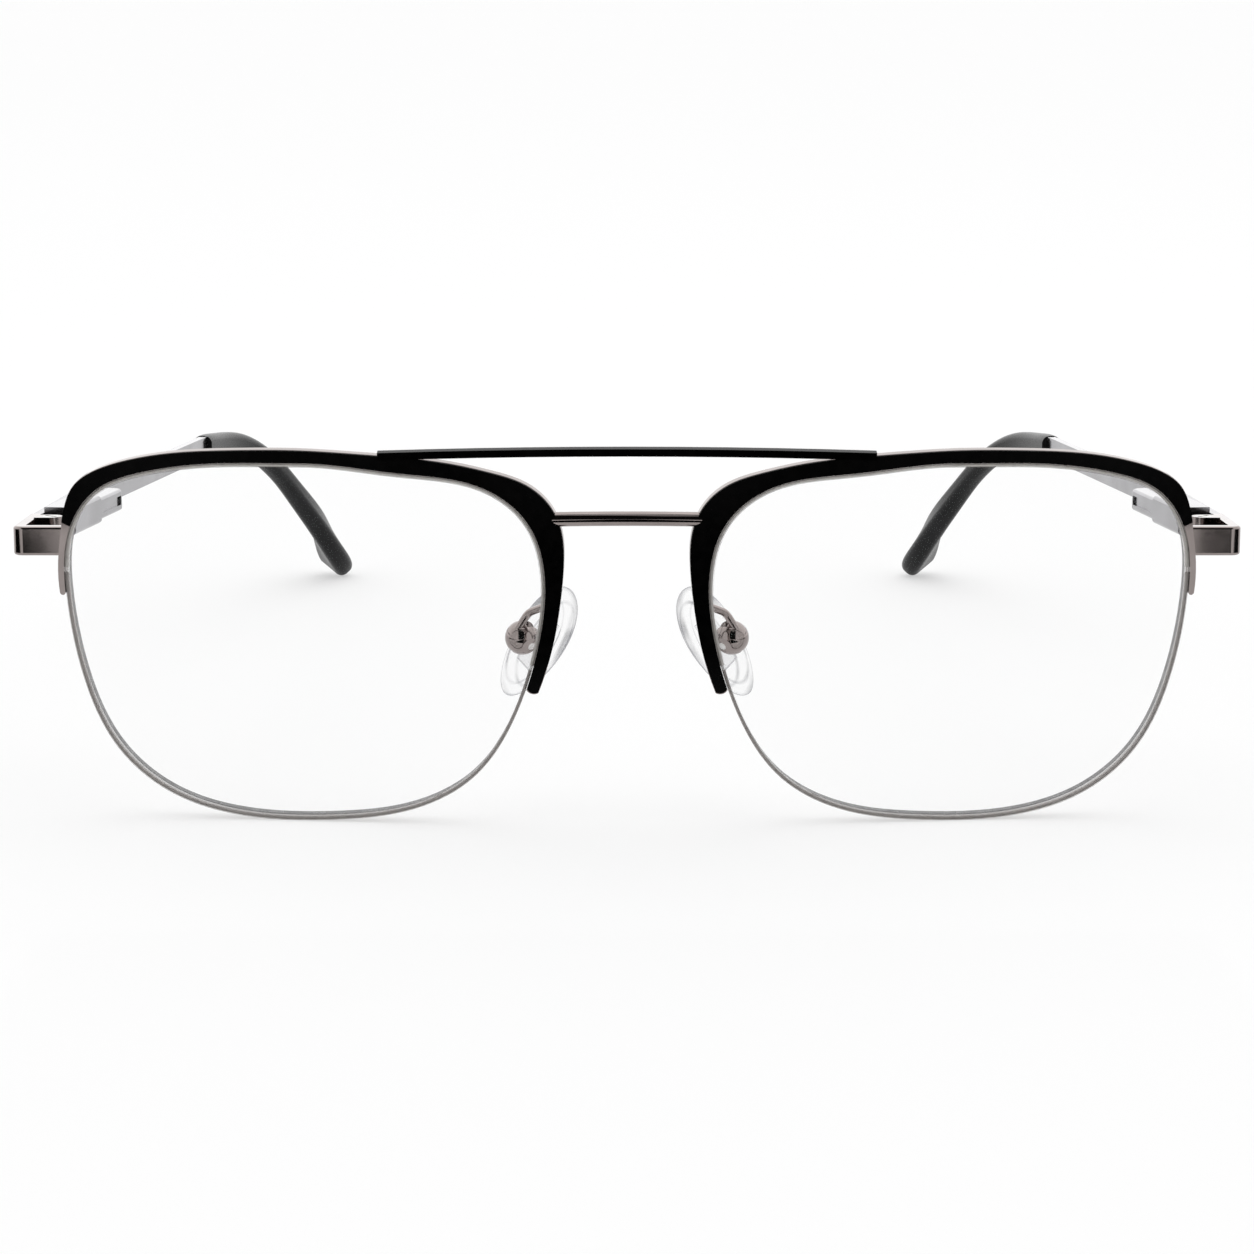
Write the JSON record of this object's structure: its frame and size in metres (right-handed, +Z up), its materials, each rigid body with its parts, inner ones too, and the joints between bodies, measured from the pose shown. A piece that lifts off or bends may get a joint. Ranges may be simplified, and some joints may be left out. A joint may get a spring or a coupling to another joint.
{
  "type": "half rim eyeglasses",
  "caption": "Double bridge half rim eyeglasses: black browline over gunmetal, cord held clear lenses, screw-on nose pads, folding temples with spring hinges.",
  "frame": {"origin": "centre of the outline seen from above, on the surface that the lens bottoms and the temple tips stand on", "axes": "+X to the wearer's left, +Y back towards the wearer along the open temples, +Z up"},
  "size_m": [0.1388, 0.1404, 0.0441],
  "materials": {
    "clear_lens": "polished clear",
    "gunmetal": "polished gunmetal plating",
    "brow_black": "black enamel",
    "nylon": "translucent",
    "screw_steel": "bright",
    "bush_nylon": "smooth",
    "tip_acetate": "satin",
    "clear_silicone": "clear soft",
    "insert_plastic": "clear hard"
  },
  "bodies": {
    "front": {"top_bar": "brow_black", "bridge_wire": "gunmetal", "lens_l": "clear_lens", "lens_r": "clear_lens", "brow_rim_l": "gunmetal", "brow_rim_r": "gunmetal", "brow_trim_l": "brow_black", "brow_trim_r": "brow_black", "rim_lining_l": "nylon", "rim_lining_r": "nylon", "nylon_cord_l": "nylon", "nylon_cord_r": "nylon", "pad_box_l": "gunmetal", "pad_box_r": "gunmetal", "pad_screw_l": "screw_steel", "pad_screw_r": "screw_steel", "pad_arm_l": "gunmetal", "pad_arm_r": "gunmetal", "end_piece_l": "gunmetal", "end_piece_r": "gunmetal", "hinge_front_l": "gunmetal", "hinge_front_r": "gunmetal", "hinge_screw_l": "screw_steel", "hinge_screw_r": "screw_steel"},
    "bush_l": {"hinge_bush_l": "bush_nylon"},
    "slider_l": {"hinge_slider_l": "gunmetal", "spring_stop_l": "screw_steel"},
    "temple_l": {"temple_arm_l": "gunmetal", "temple_tip_l": "tip_acetate", "spring_case_l": "gunmetal", "case_plug_l": "gunmetal", "hinge_spring_l": "screw_steel"},
    "pad_l": {"nose_pad_l": "clear_silicone", "pad_tongue_l": "insert_plastic"},
    "bush_r": {"hinge_bush_r": "bush_nylon"},
    "slider_r": {"hinge_slider_r": "gunmetal", "spring_stop_r": "screw_steel"},
    "temple_r": {"temple_arm_r": "gunmetal", "temple_tip_r": "tip_acetate", "spring_case_r": "gunmetal", "case_plug_r": "gunmetal", "hinge_spring_r": "screw_steel"},
    "pad_r": {"nose_pad_r": "clear_silicone", "pad_tongue_r": "insert_plastic"}
  },
  "joints": [
    {"name": "temple_l_fold", "type": "hinge", "parent": "front", "child": "bush_l", "pos_m": [0.0663, -0.05697, 0.03242], "axis": [0, 0.0607, 0.9982], "range_deg": [0, 80]},
    {"name": "temple_l_flex", "type": "hinge", "parent": "bush_l", "child": "slider_l", "pos_m": [0.0663, -0.05697, 0.03242], "axis": [0, 0.0607, 0.9982], "range_deg": [-12, 0], "stiffness_Nm_per_rad": 0.35, "springref_deg": 2.86},
    {"name": "temple_l_spring_slide", "type": "slide", "parent": "slider_l", "child": "temple_l", "axis": [-0.1184, 0.9911, -0.0603], "range_m": [0, 0.0006], "deforming": ["hinge_spring_l"]},
    {"name": "pad_l_rock", "type": "hinge", "parent": "front", "child": "pad_l", "pos_m": [0.01186, -0.05971, 0.02015], "axis": [-0.5279, -0.7504, -0.3978], "range_deg": [-8, 8]},
    {"name": "temple_r_fold", "type": "hinge", "parent": "front", "child": "bush_r", "pos_m": [-0.0663, -0.05697, 0.03242], "axis": [0, -0.0607, -0.9982], "range_deg": [0, 68]},
    {"name": "temple_r_flex", "type": "hinge", "parent": "bush_r", "child": "slider_r", "pos_m": [-0.0663, -0.05697, 0.03242], "axis": [0, -0.0607, -0.9982], "range_deg": [-12, 0], "stiffness_Nm_per_rad": 0.35, "springref_deg": 2.86},
    {"name": "temple_r_spring_slide", "type": "slide", "parent": "slider_r", "child": "temple_r", "axis": [0.1184, 0.9911, -0.0603], "range_m": [0, 0.0006], "deforming": ["hinge_spring_r"]},
    {"name": "pad_r_rock", "type": "hinge", "parent": "front", "child": "pad_r", "pos_m": [-0.01186, -0.05971, 0.02015], "axis": [0.5279, -0.7504, -0.3978], "range_deg": [-8, 8]}
  ],
  "couplings": [
    {"joint": "temple_l_spring_slide", "follows": "temple_l_flex", "m_per_rad": -0.0024},
    {"joint": "temple_r_spring_slide", "follows": "temple_r_flex", "m_per_rad": -0.0024}
  ]
}
